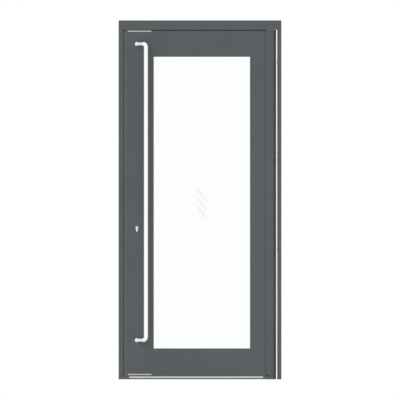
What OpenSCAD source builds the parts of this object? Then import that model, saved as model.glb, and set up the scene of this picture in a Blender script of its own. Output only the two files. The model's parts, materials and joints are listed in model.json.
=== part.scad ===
// Commercial entrance door with its frame: one glazed leaf on floor and head pivots, a half-round
// hinge stile that leaves no pinch gap, a long offset pull handle on both faces, sealed double
// glazing and a three-point lock turned by a profile cylinder.
// Millimetres. Origin at floor level, in the middle of the width and of the depth.
// +X points to the hinge side, +Y into the building, +Z up.

/* [Frame] */
// Width over the frame
frame_w = 1000; // [850:5:1200]
// Height from the floor to the top of the head
frame_h = 2205; // [1950:5:2600]
// Depth of the frame and leaf profiles
profile_d = 65; // [62:1:80]
// Wall of the frame profiles
frame_wall = 2.5; // [2:0.1:3.5]
// Face height of the head
head_h = 58; // [54:1:80]
// Face width of the lock jamb
lock_jamb_w = 27.5; // [24:0.5:45]
// Reach of the stop past the face of the lock jamb
stop_w = 21.5; // [18:0.5:30]
// Face width of the hinge jamb
hinge_jamb_w = 26; // [24:0.5:45]
// Bore in the jambs for the wall fixings
fixing_d = 8.5; // [6:0.5:12]
// Access hole in front of each wall fixing
fixing_access_d = 16; // [14:0.5:18]
// Height of the lowest and highest wall fixing from the ends of the jamb
fixing_end = 200; // [100:10:300]
// Pitch of the two fixings in each pair
fixing_pitch = 600; // [300:10:700]

/* [Threshold] */
// Height of the threshold
threshold_h = 20; // [16:1:25]
// Height of the plastic base below the metal cap
threshold_base_h = 8; // [6:0.5:9]
// Height of each eased top corner of the threshold
threshold_ease_h = 2.5; // [2:0.5:4]
// Depth of each eased top corner
threshold_ease_d = 3; // [2:0.5:8]
// Wall of the threshold profile
threshold_wall = 3; // [2:0.1:4]
// Slope of the threshold ends, measured along the width
threshold_end_slope = 6; // [2:0.5:8]
// Length of the block at each end of the threshold
end_block_l = 13.5; // [10:0.5:20]
// Number of grooves along the tread
groove_n = 6; // [2:2:6]
// Pitch of the grooves
groove_pitch = 6; // [5:0.5:6]
// Width of each groove
groove_w = 2; // [1:0.1:3]
// Depth of each groove
groove_d = 0.8; // [0.4:0.1:1.2]

/* [Gaps] */
// Gap between lock jamb and leaf
lock_gap = 3; // [2:0.5:5]
// Gap between half-round stile and hinge jamb
hinge_gap = 6.5; // [4.5:0.5:8]
// Gap between leaf and head
head_gap = 5; // [4:0.5:8]
// Gap between leaf and threshold
floor_gap = 7; // [6:0.5:10]
// Room for hardware between stop and lock stile
rebate_gap = 8; // [7:0.5:12]
// Room for the stop gasket
seal_gap = 5; // [4:0.5:6]
// Gap between the tips of a brush and the part it wipes
brush_clear = 0.3; // [0.3:0.1:1]
// Thickness of the strip that covers the bottom brush
strip_t = 2.5; // [2:0.1:3]
// Gap between that strip and the threshold
strip_clear = 0.6; // [0.5:0.1:1]

/* [Leaf] */
// Wall of the leaf profiles
leaf_wall = 2.2; // [1.8:0.1:3]
// Tube width of the lock stile
lock_tube_w = 144; // [130:1:180]
// Width of the chamber that takes the lock
lock_chamber_w = 96; // [88:1:110]
// Depth of the lip that closes over the stop
lip_d = 18; // [14:0.5:20]
// Tube width of the hinge stile
hinge_tube_w = 79; // [60:1:110]
// Tube height of the top rail
top_tube_h = 146; // [100:1:200]
// Tube height of the bottom rail
bottom_tube_h = 148; // [100:1:300]
// Shadow joint between hinge stile and half-round stile
joint_gap = 1.5; // [1:0.1:3]
// Wall of the half-round stile
round_wall = 2.5; // [2:0.1:4]
// Bore of the screw ports
port_d = 4.2; // [3.5:0.1:5]
// Outside of the screw ports
port_od = 9; // [8:0.5:10]

/* [Glazing] */
// Height of the glazing rebate, tube to sight line
glaze_leg = 15; // [13:0.5:20]
// Thickness of the outer glazing leg
leg_t = 3; // [2.6:0.1:4]
// Thickness of each pane
pane_t = 6; // [4:1:8]
// Space between the panes
pane_space = 16; // [10:1:18]
// Clearance round the edge of the glass
glass_gap = 4; // [3:0.5:6]
// Thickness of the glazing gaskets
gasket_t = 4; // [3:0.5:5]
// Height of the rib that holds the beads
rib_h = 2.2; // [1.8:0.1:3]
// Thickness of the rib that holds the beads
rib_t = 2; // [1.5:0.1:3]
// Wall of the beads
bead_wall = 1.6; // [1.2:0.1:2]
// Clearance of the clipped beads
clip_fit = 0.3; // [0.2:0.05:0.5]

/* [Handle] */
// Diameter of the pull bar
bar_d = 25; // [20:1:32]
// Diameter of the arms
arm_d = 18; // [14:1:20]
// Offset of the bar from its feet, sideways and out of the face
bar_offset = 56; // [45:1:75]
// Height of the lower arm from the floor
handle_z = 240; // [150:5:500]
// Distance of the upper arm below the top of the leaf
handle_top = 82; // [60:1:600]
// Radius of the bends, to the middle of the tube
bend_r = 22; // [20:1:26]
// Width of the line where each bend plugs in
bend_joint_w = 1; // [0.5:0.1:2]
// Depth of that line
bend_joint_d = 0.3; // [0.3:0.1:0.6]
// Length over which the bend narrows to the arm
arm_taper = 9; // [6:1:14]
// Diameter of the roses
rose_d = 24; // [20:1:30]
// Thickness of the roses
rose_t = 3; // [2:0.5:5]
// Diameter of the through studs
stud_d = 8; // [6:1:10]
// Depth of the tapped hole in each foot
stud_depth = 7.5; // [6:0.5:8]

/* [Lock] */
// Height of the cylinder axis from the floor
cylinder_z = 932; // [850:5:1100]
// Distance from lock stile edge to cylinder axis
backset = 55; // [50:1:60]
// Distance of the lock from the middle of the depth
lock_y = 9; // [8:0.5:10]
// Length of the cylinder from its middle to the outside
cylinder_out = 45; // [43:1:50]
// Length of the cylinder from its middle to the inside
cylinder_in = 27; // [26:1:35]
// Round head of the cylinder profile
profile_round = 17; // [17:0.1:18]
// Width of the web below the round head
profile_web = 10; // [9.5:0.1:10.5]
// Total height of the cylinder profile
profile_h = 33; // [32:0.5:34]
// Diameter of the plugs
plug_d = 13; // [12:0.1:14]
// Radius of the cam
cam_r = 15.5; // [14:0.5:16]
// Thickness of the cam
cam_t = 10; // [9:0.5:10]
// Radial running clearance of turning pieces
running_fit = 0.05; // [0.02:0.01:0.1]
// Height of the deadbolt above the cylinder axis
bolt_rise = 36; // [35:1:45]
// Thickness of the deadbolt
bolt_t = 11; // [10:0.5:12]
// Height of the deadbolt
bolt_h = 34; // [30:1:36]
// Length of the deadbolt
bolt_l = 50; // [45:1:55]
// Travel of the deadbolt and the rods
throw = 20; // [18:1:22]
// Thickness of the lock case
case_t = 16; // [15:0.5:17]
// Width of the lock case
case_w = 78; // [74:1:84]
// Reach of the lock case above the cylinder axis
case_high_h = 100; // [95:1:120]
// Reach of the lock case below the cylinder axis
case_low_h = 90; // [85:1:110]
// Thickness of the faceplate
plate_t = 2.5; // [2:0.1:3]
// Width of the faceplate
plate_w = 22; // [20:1:24]
// Height of the faceplate
plate_h = 250; // [235:1:280]
// Height of the strike plate
strike_h = 120; // [90:1:160]
// Diameter of the rods
rod_d = 10; // [8:0.5:10]
// Distance of the rods from the edge of the lock stile
rod_in = 28; // [27:0.5:32]
// Length of each rod inside the lock case
rod_hold = 36; // [32:1:40]
// Thickness of the guide plates
guide_t = 6; // [5.5:0.5:8]
// Clear size of the rod sockets
keep_slot = 14; // [13:0.5:16]
// Free space round sliding pieces
slide_fit = 0.35; // [0.3:0.05:0.6]

/* [Pivots] */
// Diameter of the floor pivot pin
pin_d = 16; // [14:1:18]
// Height of the top of the floor pivot pin
pin_top = 62; // [58:1:80]
// Outside of the pivot bush
bush_d = 22; // [21:0.5:26]
// Length of the pivot shoes inside the half-round stile
shoe_h = 70; // [60:1:100]
// Diameter of the closer spindle
spindle_d = 20; // [16:1:22]
// Square of the spindle in the top shoe
spindle_sq = 14; // [12:0.5:15]
// Length of the closer
closer_l = 260; // [200:5:300]
// Depth of the closer
closer_d = 44; // [36:1:50]
// Height of the closer
closer_h = 44; // [40:1:46]
// Distance of the spindle from the near end of the closer
closer_end = 40; // [35:1:40]

/* [Hidden] */
$fn = 64;
hd = profile_d / 2;
cut = 1;
screw_fit = 0.05;
seat_fit = 0.2;
press_fit = 0.02;

jamb_face_x = -frame_w / 2 + lock_jamb_w;
stop_x = jamb_face_x + stop_w;
hinge_face_x = frame_w / 2 - hinge_jamb_w;
head_z = frame_h - head_h;

leaf_x0 = jamb_face_x + lock_gap;
leaf_x1 = hinge_face_x - hinge_gap;
threshold_edge = threshold_h - threshold_ease_h;
leaf_z0 = threshold_h + floor_gap;
leaf_z1 = head_z - head_gap;
leaf_h = leaf_z1 - leaf_z0;
pivot_x = leaf_x1 - hd;
round_x0 = leaf_x1 - profile_d;
round_r_in = hd - round_wall;

lock_tube_x0 = stop_x + rebate_gap;
lock_tube_x1 = lock_tube_x0 + lock_tube_w;
web_x = lock_tube_x0 + leaf_wall + lock_chamber_w;
hinge_stile_x1 = round_x0 - joint_gap;
hinge_tube_x0 = hinge_stile_x1 - hinge_tube_w;
top_tube_z0 = leaf_z1 - top_tube_h;
bottom_tube_z1 = leaf_z0 + bottom_tube_h;
rail_l = hinge_tube_x0 - lock_tube_x1;

sight_x0 = lock_tube_x1 + glaze_leg;
sight_x1 = hinge_tube_x0 - glaze_leg;
sight_z0 = bottom_tube_z1 + glaze_leg;
sight_z1 = top_tube_z0 - glaze_leg;
sight_h = sight_z1 - sight_z0;

lip_back = -hd + lip_d;
stop_y = lip_back + seal_gap;
leg_y = -hd + leg_t;
glass_y0 = leg_y + gasket_t;
glass_y1 = glass_y0 + 2 * pane_t + pane_space;
glass_edge = glaze_leg - glass_gap;
bead_y0 = glass_y1 + gasket_t;
bead_chamfer = 3;
rib_y = hd - 10;
sight_back = 1;
spacer_back = 4;

foot_in = 1.2;
foot_at = 7;
foot_w = 3;
foot_end_fit = 0.1;
foot_root = 0.5;
bulb_clear = 0.4;
bulb_wall = 1.2;
bulb_shift = 0.3;
stop_gasket_w = 10;

brush_y = -8;
brush_neck = 5;
brush_base = 7;
brush_lip = 1.2;
brush_deep = 4.5;
brush_join = 0.1;
backing_fit = 0.8;
bristle_fit = 0.3;
brush_x0 = stop_x + 0.7;
top_brush_x1 = pivot_x - 21;
bottom_brush_x1 = pivot_x - hd - 1.1;

lock_x = lock_tube_x0 + backset;
handle_cc = leaf_z1 - handle_top - handle_z;
bar_x = lock_x + bar_offset;
bar_y = hd + bar_offset;
bolt_z = cylinder_z + bolt_rise;
cam_clear = 0.5;
cam_space = cam_t + 2 * cam_clear;
cam_w = 9;
cam_hub_wall = 1;
key_l = 28;
keyway_w = 2.2;
keyway_h = 9;
keyway_low = 4.6;
keyway_end = 4;
plug_proud = 0.6;
plug_gap = 0.3;
web_low = profile_h - profile_round / 2;
fix_drop = web_low - 4.5;
rod_x = lock_tube_x0 + rod_in;
case_z0 = cylinder_z - case_low_h;
case_z1 = cylinder_z + case_high_h;
plate_z = (case_z0 + case_z1) / 2;
rod_low_top = case_z0 + rod_hold;
rod_high_foot = case_z1 - rod_hold;
tip_in = 0.5;
rod_tip_l = 3;
rod_tip_d = rod_d - 4;
rod_room = 1;
bolt_room = 2;
bolt_chamfer = 2;
strike_side = 1;
strike_end = 2;
strike_screw_in = 14;
plate_screw_in = 12;
keep_floor = 2;
keep_room = 3;
floor_keep_w = keep_slot + 6;
head_keep_w = keep_slot + 10;
head_keep_h = throw - 4;

rail_port_at = 40;
port_in = 4.3;
rail_port_y = hd - leaf_wall - port_in;
jamb_screw_d = 5;
jamb_screw_l = 28;
jamb_screw_in = 8;
jamb_screw_room = 2;
hinge_screw_y = 0.55 * hd;
spigot_h = 60;
block_l = 80;
block_in = 60;
cap_rim = 1.5;
cap_rim_t = 1;
spline_y = 15;
spline_t = 4;
spline_in = 4;
spline_edge = 6;
spline_end = 1;
spline_boss = 7;
spline_boss_w = 8.4;
spline_boss_in = 1;
shoe_in = 8;
end_plug_h = 15;
spigot_in = 2;
spigot_lap = 0.5;
stud_room = 0.5;
stud_end_gap = 0.3;

closer_x1 = pivot_x + closer_end;
closer_screw_at = 25;
closer_screw_edge = 7;
closer_cap_l = 8;
closer_cap_d = closer_d - 12;
spindle_hole_d = spindle_d + 4;
spindle_room = 0.5;
spindle_up = 32;
spindle_in = 30;
spindle_top = head_z + frame_wall + spindle_up;
base_rim_z = leaf_z0 - 1;
base_top_z = leaf_z0 + 2.5;
base_disc_r = round_r_in - 1.5;
shoe_z0 = base_top_z + 0.5;
shoe_flange = head_gap - 0.5;
pin_z0 = 5;
pin_taper = 2;
pin_room = 1;
bush_flange_d = bush_d + 8;
bush_flange_t = 2;
bush_top = pin_top + 4;
floor_screw_in = 5.2;

// Countersunk screws: shank, head, length
closer_screw = [5, 9.5, 18];
plate_screw = [4, 8, 12];
floor_screw = [4.5, 8, threshold_h];
guide_screw = [port_d - 2 * screw_fit, 8, 25];
cylinder_fixing = [5, 9, backset + 6];

// Pan head screws: shank, head, height of the head, length
jamb_screw = [jamb_screw_d, 9, 3.5, jamb_screw_l];
rail_screw = [port_d - 2 * screw_fit, 8, 3, 35];

paint = [0.33, 0.35, 0.36];
metal = [0.78, 0.79, 0.8];
bright = [0.9, 0.91, 0.9];
nickel = [0.75, 0.73, 0.68];
steel = [0.55, 0.56, 0.58];
bronze = [0.7, 0.5, 0.25];
rubber = [0.07, 0.07, 0.075];
plastic = [0.16, 0.165, 0.17];
glass = [0.8, 0.9, 0.92, 0.35];

// Extrudes a section drawn as depth and height along the width
module along_x(x0, length) {
    translate([x0, 0, 0]) rotate([90, 0, 90]) linear_extrude(length) children();
}

// Extrudes a section drawn as width and height through the depth
module along_y(y0, y1) {
    translate([0, y1, 0]) rotate([90, 0, 0]) linear_extrude(y1 - y0) children();
}

// Turns a section drawn as height and depth into depth and height
module upright() {
    mirror([1, 0]) rotate(90) children();
}

// Countersunk screw along Z with its head at the origin; grown by g it is the hole for it, which
// may run past its end
module csk_screw(size, g = 0, past = 0) {
    d = size[0];
    head_d = size[1];
    length = size[2] + past;
    cone = (head_d - d) / 2;
    difference() {
        union() {
            translate([0, 0, -length - g]) cylinder(d = d + 2 * g, h = length + g - cone);
            translate([0, 0, -cone]) cylinder(d1 = d + 2 * g, d2 = head_d + 2 * g, h = cone);
            if (g > 0) cylinder(d = head_d + 2 * g, h = cut);
        }
        if (g == 0) socket(d);
    }
}

// Hexagon socket of a screw with shank d, its mouth at the origin
module socket(d) {
    deep = 0.4 * d;
    across = 0.68 * d;
    translate([0, 0, -deep]) cylinder(d = across, h = deep + cut, $fn = 6);
}

// Pan head screw along Z, its head resting at the origin
module pan_screw(size) {
    d = size[0];
    head_h = size[2];
    length = size[3];
    difference() {
        union() {
            translate([0, 0, -length]) cylinder(d = d, h = length);
            cylinder(d = size[1], h = head_h);
        }
        translate([0, 0, head_h]) socket(d);
    }
}

// Round-ended plate, long along Z, facing the lock jamb
module round_plate(x0, thick, wide, tall, z) {
    translate([x0, lock_y - wide / 2, z - tall / 2 + wide / 2]) cube([thick, wide, tall - wide]);
    for (s = [-1, 1])
        translate([x0, lock_y, z + s * (tall / 2 - wide / 2)])
            rotate([0, 90, 0]) cylinder(d = wide, h = thick);
}

// Positions of the wall fixings on a jamb
module at_fixings() {
    for (z = [fixing_end, fixing_end + fixing_pitch,
            head_z - fixing_end - fixing_pitch, head_z - fixing_end])
        translate([0, 0, z]) children();
}

// Clear way of the top rod through the head
module head_slot() {
    translate([rod_x - keep_slot / 2, lock_y - keep_slot / 2, head_z - cut])
        cube([keep_slot, keep_slot, throw + keep_room + cut]);
}

// Clear way of the bottom rod through the threshold
module threshold_slot() {
    translate([rod_x - keep_slot / 2, lock_y - keep_slot / 2, keep_floor])
        cube([keep_slot, keep_slot, threshold_h]);
}

// Screws that hold the closer up to the head, head down
module at_closer_screws() {
    for (x = [closer_x1 - closer_l + closer_screw_at, pivot_x - closer_end], s = [-1, 1])
        translate([x, s * (closer_d / 2 - closer_screw_edge), head_z]) rotate([180, 0, 0]) children();
}

// Places on the two jambs where screws tie them to the head
module at_jamb_screws() {
    lock_side_x = (stop_x - frame_w / 2) / 2;
    for (y = [stop_y + jamb_screw_in, hd - jamb_screw_in])
        translate([lock_side_x, y, head_z + frame_wall]) children();
    for (s = [-1, 1])
        translate([frame_w / 2 - hinge_jamb_w / 2, s * hinge_screw_y, head_z + frame_wall]) children();
}

module head() {
    color(paint) difference() {
        along_x(-frame_w / 2, frame_w) difference() {
            translate([-hd, head_z]) square([profile_d, head_h]);
            translate([-hd + frame_wall, head_z + frame_wall])
                square([profile_d - 2 * frame_wall, head_h - 2 * frame_wall]);
        }
        translate([pivot_x, 0, head_z - cut]) cylinder(d = spindle_hole_d, h = frame_wall + 2 * cut);
        head_slot();
        at_closer_screws() csk_screw(closer_screw, screw_fit);
        at_jamb_screws() translate([0, 0, -frame_wall - cut])
            cylinder(d = jamb_screw_d + 2 * screw_fit, h = frame_wall + 2 * cut);
    }
}

module lock_jamb_section() {
    difference() {
        union() {
            translate([-frame_w / 2, -hd]) square([lock_jamb_w, profile_d]);
            translate([-frame_w / 2, stop_y]) square([lock_jamb_w + stop_w, hd - stop_y]);
        }
        translate([-frame_w / 2 + frame_wall, -hd + frame_wall])
            square([lock_jamb_w - 2 * frame_wall, hd + stop_y - frame_wall]);
        translate([-frame_w / 2 + frame_wall, stop_y + frame_wall])
            square([lock_jamb_w + stop_w - 2 * frame_wall, hd - stop_y - 2 * frame_wall]);
        translate([stop_x - stop_w / 2 - foot_w / 2, stop_y]) square([foot_w, foot_in]);
    }
}

module lock_jamb() {
    fixing_y = (-hd + stop_y) / 2;
    color(paint) difference() {
        linear_extrude(head_z) lock_jamb_section();
        at_fixings() translate([-frame_w / 2 - cut, fixing_y, 0])
            rotate([0, 90, 0]) cylinder(d = fixing_d, h = frame_wall + 2 * cut);
        at_fixings() translate([jamb_face_x - frame_wall - cut, fixing_y, 0])
            rotate([0, 90, 0]) cylinder(d = fixing_access_d, h = frame_wall + 2 * cut);
        strike_slot(frame_wall + 2 * cut);
        at_strike_screws() csk_screw(plate_screw, screw_fit);
    }
}

module hinge_jamb() {
    color(paint) difference() {
        linear_extrude(head_z) difference() {
            translate([hinge_face_x, -hd]) square([hinge_jamb_w, profile_d]);
            translate([hinge_face_x + frame_wall, -hd + frame_wall])
                square([hinge_jamb_w - 2 * frame_wall, profile_d - 2 * frame_wall]);
        }
        at_fixings() translate([frame_w / 2 - frame_wall - cut, 0, 0])
            rotate([0, 90, 0]) cylinder(d = fixing_d, h = frame_wall + 2 * cut);
        at_fixings() translate([hinge_face_x - cut, 0, 0])
            rotate([0, 90, 0]) cylinder(d = fixing_access_d, h = frame_wall + 2 * cut);
    }
}

module fixing_cap() {
    cylinder(d = fixing_access_d - 2 * seat_fit, h = frame_wall);
    translate([0, 0, frame_wall]) cylinder(d = fixing_access_d + 2 * cap_rim, h = cap_rim_t);
}

module fixing_hole_caps() {
    fixing_y = (-hd + stop_y) / 2;
    color(plastic) at_fixings() {
        translate([jamb_face_x - frame_wall, fixing_y, 0]) rotate([0, 90, 0]) fixing_cap();
        translate([hinge_face_x + frame_wall, 0, 0]) rotate([0, -90, 0]) fixing_cap();
    }
}

module threshold_section(h) {
    polygon([[-hd, 0], [-hd, threshold_edge], [-hd + threshold_ease_d, h],
        [hd - threshold_ease_d, h], [hd, threshold_edge], [hd, 0]]);
}

module threshold() {
    x0 = stop_x + end_block_l;
    x1 = round_x0 - end_block_l;
    w = threshold_wall;
    web_y = -12;
    color(metal) difference() {
        intersection() {
            along_x(x0, x1 - x0) difference() {
                threshold_section(threshold_h);
                polygon([[-hd + w, -cut], [-hd + w, threshold_edge - w / 2],
                    [-hd + threshold_ease_d + w / 2, threshold_h - w], [web_y, threshold_h - w],
                    [web_y, -cut]]);
                polygon([[hd - w, -cut], [hd - w, threshold_edge - w / 2],
                    [hd - threshold_ease_d - w / 2, threshold_h - w], [web_y + w, threshold_h - w],
                    [web_y + w, -cut]]);
                translate([-hd - cut, -cut]) square([profile_d + 2 * cut, threshold_base_h + cut]);
                for (i = [0:groove_n - 1])
                    translate([(i - (groove_n - 1) / 2) * groove_pitch - groove_w / 2,
                            threshold_h - groove_d]) square([groove_w, groove_d + cut]);
            }
            along_y(-hd - cut, hd + cut) polygon([[x0, 0], [x0, threshold_base_h],
                [x0 + threshold_end_slope, threshold_h], [x1 - threshold_end_slope, threshold_h],
                [x1, threshold_base_h], [x1, 0]]);
        }
        threshold_slot();
    }
}

// Base of the threshold with its end blocks; the left one reaches past the stop to the jamb
module threshold_end_blocks() {
    h = threshold_h - seat_fit;
    w = threshold_wall;
    x0 = stop_x + end_block_l;
    x1 = round_x0 - end_block_l;
    lean = threshold_end_slope * (h - threshold_base_h) / (threshold_h - threshold_base_h);
    keep = floor_keep_w + 2 * seat_fit;
    color(plastic) difference() {
        union() {
            intersection() {
                along_x(stop_x, round_x0 - stop_x) threshold_section(h);
                along_y(-hd - cut, hd + cut) {
                    polygon([[stop_x, 0], [x0 - seat_fit, 0], [x0 - seat_fit, threshold_base_h],
                        [x0 - seat_fit + lean, h], [stop_x, h]]);
                    polygon([[round_x0, 0], [x1 + seat_fit, 0], [x1 + seat_fit, threshold_base_h],
                        [x1 + seat_fit - lean, h], [round_x0, h]]);
                }
            }
            along_x(jamb_face_x, stop_w + cut) difference() {
                threshold_section(h);
                translate([stop_y - seat_fit, -cut]) square([profile_d, h + 2 * cut]);
            }
            translate([x0 - cut, -hd, 0]) cube([x1 - x0 + 2 * cut, profile_d, threshold_base_h]);
        }
        for (y = [-hd + w, 0])
            translate([rod_x + keep, y, -cut])
                cube([x1 - rod_x - keep - w, hd - 1.5 * w, threshold_base_h - w + cut]);
        translate([rod_x - keep / 2, lock_y - keep / 2, -cut])
            cube([keep, keep, threshold_base_h + 2 * cut]);
    }
}

module threshold_keep() {
    w = floor_keep_w;
    color(steel) difference() {
        translate([rod_x - w / 2, lock_y - w / 2, 0]) cube([w, w, threshold_h - threshold_wall]);
        threshold_slot();
    }
}

module head_keep() {
    w = head_keep_w;
    color(steel) difference() {
        translate([rod_x - w / 2, lock_y - w / 2, head_z + frame_wall]) cube([w, w, head_keep_h]);
        head_slot();
    }
}

// Way of the deadbolt into the stop, cut to the given depth behind its face
module strike_slot(depth) {
    translate([stop_x - depth, lock_y - bolt_t / 2 - strike_side, bolt_z - bolt_h / 2 - strike_end])
        cube([depth + plate_t + cut, bolt_t + 2 * strike_side, bolt_h + 2 * strike_end]);
}

module at_strike_screws() {
    for (s = [-1, 1])
        translate([stop_x + plate_t, lock_y, bolt_z + s * (strike_h / 2 - strike_screw_in)])
            rotate([0, 90, 0]) children();
}

module strike_plate() {
    color(steel) difference() {
        round_plate(stop_x, plate_t, plate_w, strike_h, bolt_z);
        strike_slot(cut);
        at_strike_screws() csk_screw(plate_screw, screw_fit);
    }
}

module strike_screws() {
    color(steel) at_strike_screws() csk_screw(plate_screw);
}

module stop_gasket() {
    bulb_r = (seal_gap - bulb_clear) / 2;
    x = stop_x - stop_w / 2;
    color(rubber) translate([0, 0, threshold_h]) linear_extrude(head_z - threshold_h) {
        difference() {
            translate([x, stop_y - bulb_r]) circle(r = bulb_r);
            translate([x, stop_y - bulb_r - bulb_shift]) circle(r = bulb_r - bulb_wall);
        }
        translate([x - stop_gasket_w / 2, stop_y - bulb_wall]) square([stop_gasket_w, bulb_wall]);
        translate([x - foot_w / 2 + seat_fit, stop_y - foot_root])
            square([foot_w - 2 * seat_fit, foot_root + foot_in - foot_end_fit]);
    }
}

module jamb_spigots() {
    h = spigot_h;
    g = frame_wall + seat_fit;
    color(metal) difference() {
        union() {
            translate([-frame_w / 2 + g, stop_y + g, head_z - h])
                cube([lock_jamb_w + stop_w - 2 * g, hd - stop_y - 2 * g, h]);
            translate([hinge_face_x + g, -hd + g, head_z - h])
                cube([hinge_jamb_w - 2 * g, profile_d - 2 * g, h]);
        }
        at_jamb_screws() translate([0, 0, -jamb_screw_l - jamb_screw_room])
            cylinder(d = jamb_screw_d + 2 * screw_fit, h = jamb_screw_l + jamb_screw_room);
    }
}

module jamb_screws() {
    color(steel) at_jamb_screws() pan_screw(jamb_screw);
}

module closer_body() {
    x0 = closer_x1 - closer_l;
    z0 = head_z + frame_wall;
    color(steel) difference() {
        union() {
            translate([x0, -closer_d / 2, z0]) cube([closer_l, closer_d, closer_h]);
            translate([x0 - closer_cap_l, 0, z0 + closer_h / 2])
                rotate([0, 90, 0]) cylinder(d = closer_cap_d, h = closer_cap_l);
        }
        translate([pivot_x, 0, z0 - cut])
            cylinder(d = spindle_d + 2 * running_fit, h = spindle_top - z0 + spindle_room + cut);
        at_closer_screws() csk_screw(closer_screw, screw_fit);
    }
}

module closer_screws() {
    color(steel) at_closer_screws() csk_screw(closer_screw);
}

module at_floor_screws() {
    for (s = [-1, 1])
        translate([round_x0 + floor_screw_in, s * (hd - floor_screw_in), threshold_h]) children();
}

module pivot_base() {
    color(paint) difference() {
        union() {
            translate([round_x0, -hd, 0]) cube([hd, profile_d, threshold_h]);
            translate([pivot_x, 0, 0]) cylinder(r = hd, h = base_rim_z);
            translate([pivot_x, 0, 0]) cylinder(r = base_disc_r, h = base_top_z);
        }
        translate([pivot_x, 0, pin_z0]) cylinder(d = pin_d + 2 * press_fit, h = base_top_z);
        at_floor_screws() csk_screw(floor_screw, screw_fit, cut);
    }
}

module floor_screws() {
    color(steel) at_floor_screws() csk_screw(floor_screw);
}

module pivot_pin() {
    color(steel) {
        translate([pivot_x, 0, pin_z0]) cylinder(d = pin_d, h = pin_top - pin_taper - pin_z0);
        translate([pivot_x, 0, pin_top - pin_taper])
            cylinder(d1 = pin_d, d2 = pin_d - 2 * pin_taper, h = pin_taper);
    }
}

// Outer glazing leg, with the groove that holds the gasket; u from the tube, v is depth
module glazing_leg() {
    difference() {
        translate([-leaf_wall / 2, -hd]) square([glaze_leg + leaf_wall / 2, leg_t]);
        translate([glaze_leg - foot_at - foot_w, leg_y - foot_in]) square([foot_w, foot_in]);
    }
}

// Rib that the beads clip over
module bead_rib() {
    translate([-leaf_wall / 2, rib_y]) square([rib_h + leaf_wall / 2, rib_t]);
}

module screw_port() {
    difference() {
        circle(d = port_od);
        circle(d = port_d);
    }
}

// Slot for a brush, opening at the origin and running into -Z
module brush_slot(x0, x1) {
    along_x(x0, x1 - x0) {
        translate([brush_y - brush_neck / 2, -brush_lip - brush_join])
            square([brush_neck, brush_lip + cut]);
        translate([brush_y - brush_base / 2, -brush_deep])
            square([brush_base, brush_deep - brush_lip]);
    }
}

module top_brush_slot(x0, x1) {
    translate([0, 0, leaf_z1]) brush_slot(x0, x1);
}

module bottom_brush_slot(x0, x1) {
    translate([0, 0, leaf_z0]) mirror([0, 0, 1]) brush_slot(x0, x1);
}

// Brush with its backing, tips reach past the origin
module brush(x0, x1, reach) {
    along_x(x0, x1 - x0) {
        translate([brush_y - brush_base / 2 + seat_fit, -brush_deep])
            square([brush_base - 2 * seat_fit, brush_deep - brush_lip - backing_fit]);
        translate([brush_y - brush_neck / 2 + bristle_fit, -brush_lip - backing_fit])
            square([brush_neck - 2 * bristle_fit, brush_lip + backing_fit + reach]);
    }
}

module top_brush() {
    color(rubber) translate([0, 0, leaf_z1]) brush(brush_x0, top_brush_x1, head_gap - brush_clear);
}

// Bottom brush in the strip that carries it, the front of the strip flush with the leaf
module bottom_brush() {
    strip_z0 = threshold_h + strip_clear;
    strip_y1 = brush_y - brush_neck / 2 + bristle_fit + seat_fit;
    color(rubber) {
        translate([0, 0, leaf_z0]) mirror([0, 0, 1])
            brush(brush_x0, bottom_brush_x1, floor_gap - brush_clear);
        translate([leaf_x0, -hd, strip_z0])
            cube([hinge_stile_x1 - leaf_x0, strip_t, leaf_z0 - strip_z0]);
        translate([lock_tube_x0, -hd, leaf_z0 - strip_t])
            cube([hinge_stile_x1 - lock_tube_x0, strip_y1 + hd, strip_t]);
    }
}

// Section of a rail: u from its outer edge to the sight line, v is depth
module rail_section(h) {
    web = h / 2;
    difference() {
        union() {
            translate([0, -hd]) square([h, profile_d]);
            translate([h, 0]) glazing_leg();
            translate([h, 0]) bead_rib();
        }
        translate([leaf_wall, -hd + leaf_wall])
            square([web - leaf_wall, profile_d - 2 * leaf_wall]);
        translate([web + leaf_wall, -hd + leaf_wall])
            square([h - web - 2 * leaf_wall, profile_d - 2 * leaf_wall]);
    }
    for (s = [-1, 1]) translate([rail_port_at, s * rail_port_y]) screw_port();
    translate([0, brush_y - brush_base / 2 - leaf_wall])
        square([brush_deep + leaf_wall, brush_base + 2 * leaf_wall]);
}

module top_rail() {
    color(paint) difference() {
        translate([0, 0, leaf_z1]) mirror([0, 0, 1])
            along_x(lock_tube_x1, rail_l) upright() rail_section(top_tube_h);
        top_brush_slot(lock_tube_x1 - cut, hinge_tube_x0 + cut);
    }
}

module bottom_rail() {
    color(paint) difference() {
        translate([0, 0, leaf_z0])
            along_x(lock_tube_x1, rail_l) upright() rail_section(bottom_tube_h);
        bottom_brush_slot(lock_tube_x1 - cut, hinge_tube_x0 + cut);
    }
}

// Screws through the stiles into the ports of the rails
module at_rail_screws() {
    for (z = [leaf_z0 + rail_port_at, leaf_z1 - rail_port_at], s = [-1, 1]) {
        translate([lock_tube_x1 - leaf_wall, s * rail_port_y, z]) rotate([0, -90, 0]) children();
        translate([hinge_tube_x0 + leaf_wall, s * rail_port_y, z]) rotate([0, 90, 0]) children();
    }
}

module rail_screws() {
    color(steel) at_rail_screws() pan_screw(rail_screw);
}

module rail_screw_holes() {
    at_rail_screws() translate([0, 0, -leaf_wall - cut])
        cylinder(d = port_d, h = leaf_wall + 2 * cut);
}

module guide_ports() {
    translate([lock_tube_x0 + leaf_wall + port_in, -rail_port_y]) children();
    translate([web_x + leaf_wall + port_in, rail_port_y]) children();
}

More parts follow.
